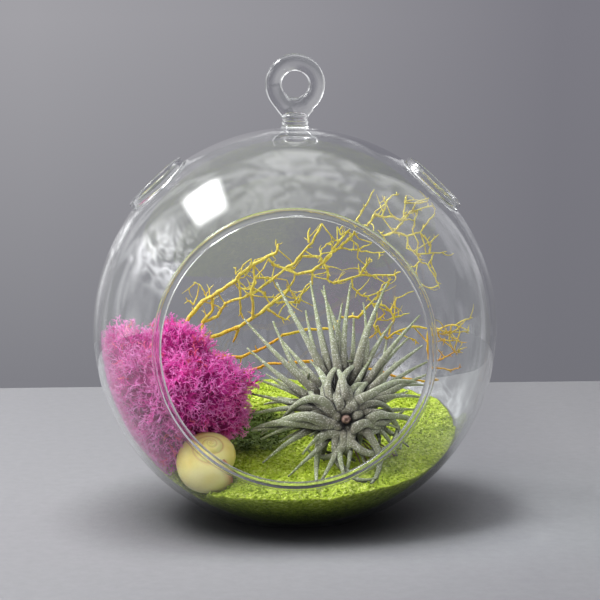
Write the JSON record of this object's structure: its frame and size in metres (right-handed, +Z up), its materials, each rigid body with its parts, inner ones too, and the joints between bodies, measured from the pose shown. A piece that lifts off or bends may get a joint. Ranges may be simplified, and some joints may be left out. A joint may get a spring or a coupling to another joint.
{
  "type": "air plant terrarium",
  "caption": "Clear blown-glass globe with a wide front mouth, vent holes, flat foot and hanging loop, dressed with sand, an air plant, moss, a branch and a snail shell.",
  "frame": {"origin": "middle of the flat foot, on the surface that the globe stands on", "axes": "+Z up through the globe's crown and the hanging loop, -Y out of the mouth, +X to the right of someone looking into the mouth"},
  "size_m": [0.15, 0.1338, 0.1717],
  "materials": {
    "clear_glass": "clear blown glass, gloss, melted rims",
    "lime_sand": "dyed coarse sand, matt",
    "plant_leaf": "silvery felted leaf with pale scales",
    "yellow_branch": "dyed twig, matt",
    "magenta_moss": "dyed dried lichen, matt",
    "pale_shell": "smooth snail shell, satin"
  },
  "bodies": {
    "root": {"glass_globe": "clear_glass", "sand_bed": "lime_sand", "air_plant": "plant_leaf", "branch": "yellow_branch", "moss": "magenta_moss", "snail_shell": "pale_shell"}
  },
  "joints": []
}
